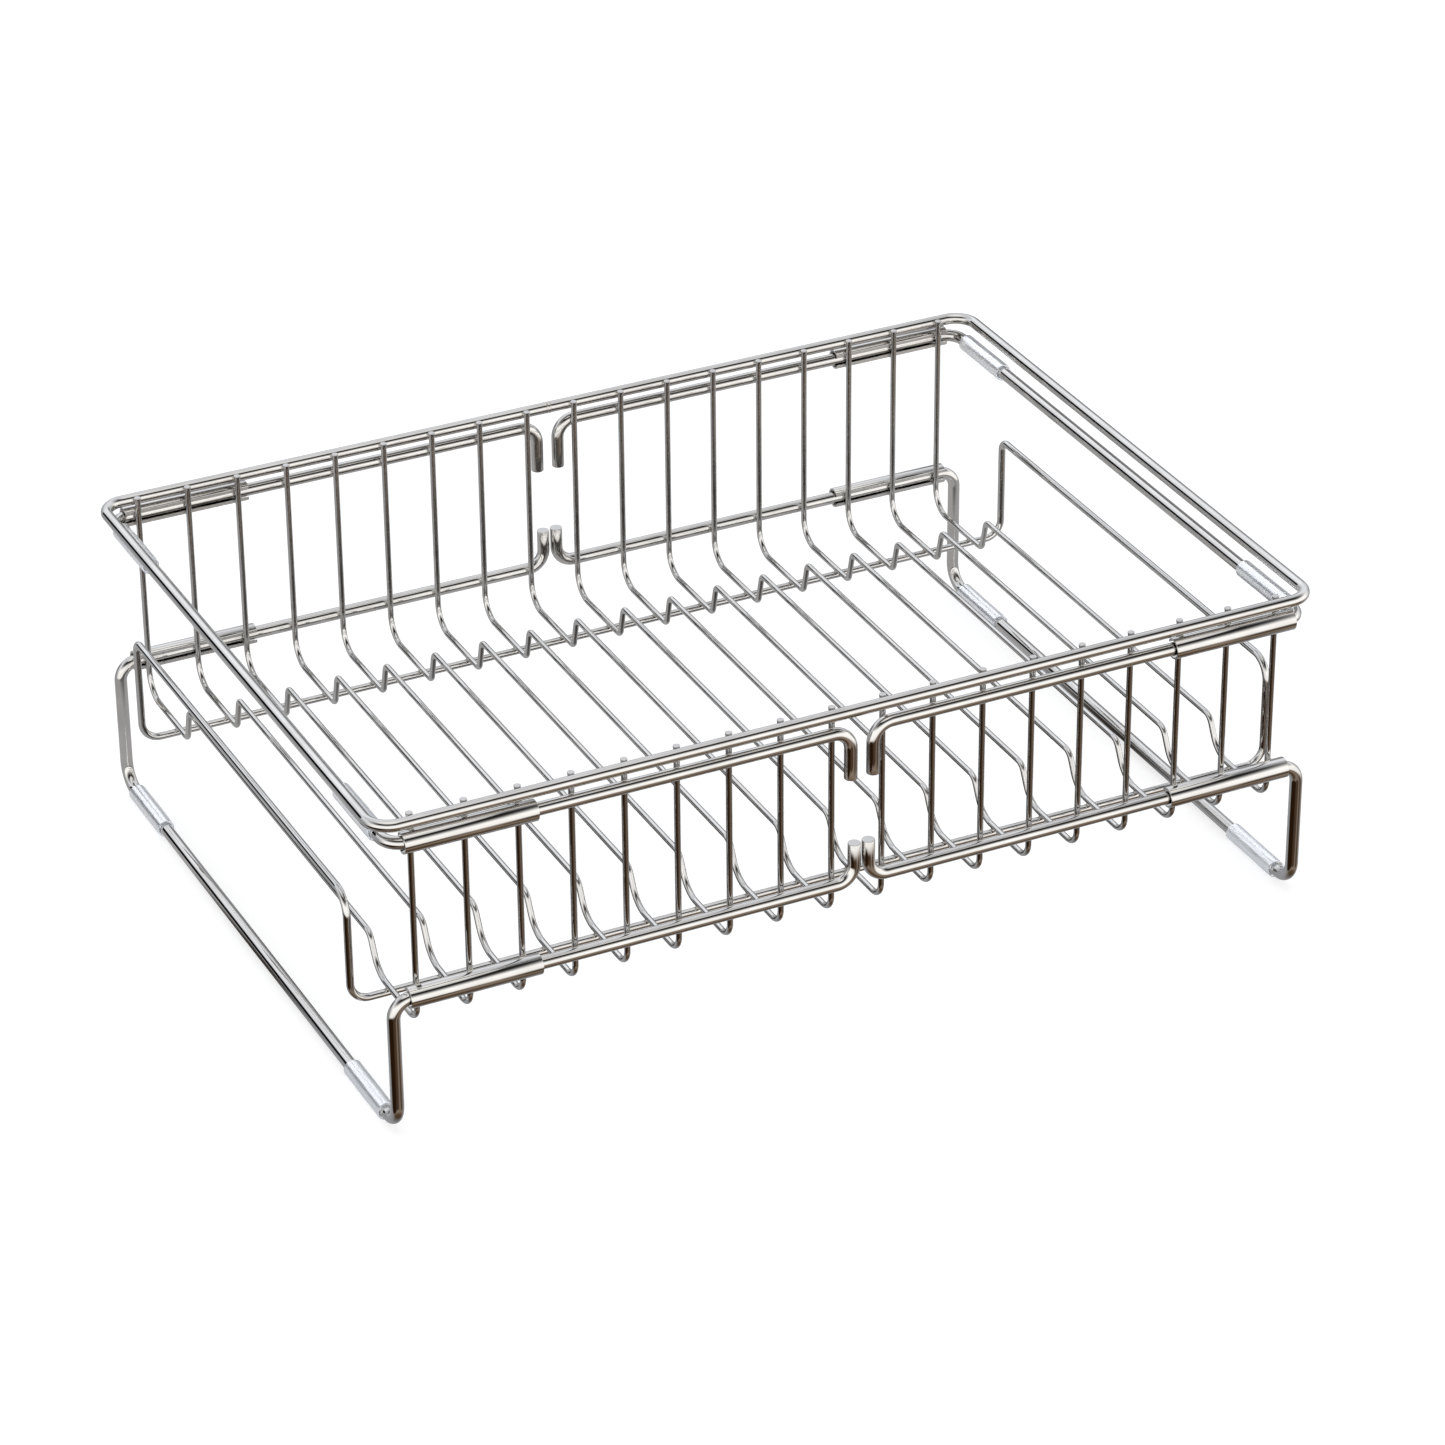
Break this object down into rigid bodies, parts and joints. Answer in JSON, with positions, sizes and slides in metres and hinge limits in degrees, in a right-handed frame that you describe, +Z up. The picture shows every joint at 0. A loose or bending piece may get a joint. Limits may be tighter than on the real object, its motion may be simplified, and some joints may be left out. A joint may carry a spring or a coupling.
{
  "type": "dish drying rack",
  "caption": "Dish drying rack of welded steel wire: a shallow stepped basket inside a heavy rim, slide frames that reach over a sink, and sliding leg frames with soft foot tubes.",
  "frame": {"origin": "on the surface it stands on, under the middle of the basket", "axes": "+X along the length towards the right end, +Y from front to back, +Z up"},
  "size_m": [0.465, 0.3428, 0.1572],
  "materials": {
    "rim_steel": "polished stainless bar with a fine lengthwise draw grain",
    "loop_steel": "polished stainless wire",
    "wire_steel": "polished stainless wire, dull at the welds",
    "sleeve_steel": "polished stainless sheet, bright sheared edges",
    "rod_steel": "polished stainless bar",
    "tube_plastic": "soft milky clear tube, slightly glossy"
  },
  "bodies": {
    "basket": {"rim": "rim_steel", "base_loop": "loop_steel", "cross_wire_01": "wire_steel", "cross_wire_02": "wire_steel", "cross_wire_03": "wire_steel", "cross_wire_04": "wire_steel", "cross_wire_05": "wire_steel", "cross_wire_06": "wire_steel", "cross_wire_07": "wire_steel", "cross_wire_08": "wire_steel", "cross_wire_09": "wire_steel", "cross_wire_10": "wire_steel", "cross_wire_11": "wire_steel", "cross_wire_12": "wire_steel", "cross_wire_13": "wire_steel", "cross_wire_14": "wire_steel", "cross_wire_15": "wire_steel", "cross_wire_16": "wire_steel", "cross_wire_17": "wire_steel", "cross_wire_18": "wire_steel", "upper_sleeve_front_left": "sleeve_steel", "upper_sleeve_back_left": "sleeve_steel", "upper_sleeve_front_right": "sleeve_steel", "upper_sleeve_back_right": "sleeve_steel", "lower_sleeve_front_left": "sleeve_steel", "lower_sleeve_back_left": "sleeve_steel", "lower_sleeve_front_right": "sleeve_steel", "lower_sleeve_back_right": "sleeve_steel"},
    "left_slide": {"left_slide_frame": "rod_steel", "slide_tube_front_left": "tube_plastic", "slide_tube_back_left": "tube_plastic"},
    "left_leg": {"left_leg_frame": "rod_steel", "foot_tube_front_left": "tube_plastic", "foot_tube_back_left": "tube_plastic"},
    "right_slide": {"right_slide_frame": "rod_steel", "slide_tube_front_right": "tube_plastic", "slide_tube_back_right": "tube_plastic"},
    "right_leg": {"right_leg_frame": "rod_steel", "foot_tube_front_right": "tube_plastic", "foot_tube_back_right": "tube_plastic"}
  },
  "joints": [
    {"name": "left_slide_out", "type": "slide", "parent": "basket", "child": "left_slide", "axis": [-1, 0, 0], "range_m": [0, 0.14]},
    {"name": "left_leg_out", "type": "slide", "parent": "basket", "child": "left_leg", "axis": [-1, 0, 0], "range_m": [0, 0.142]},
    {"name": "right_slide_out", "type": "slide", "parent": "basket", "child": "right_slide", "axis": [1, 0, 0], "range_m": [0, 0.14]},
    {"name": "right_leg_out", "type": "slide", "parent": "basket", "child": "right_leg", "axis": [1, 0, 0], "range_m": [0, 0.142]}
  ]
}
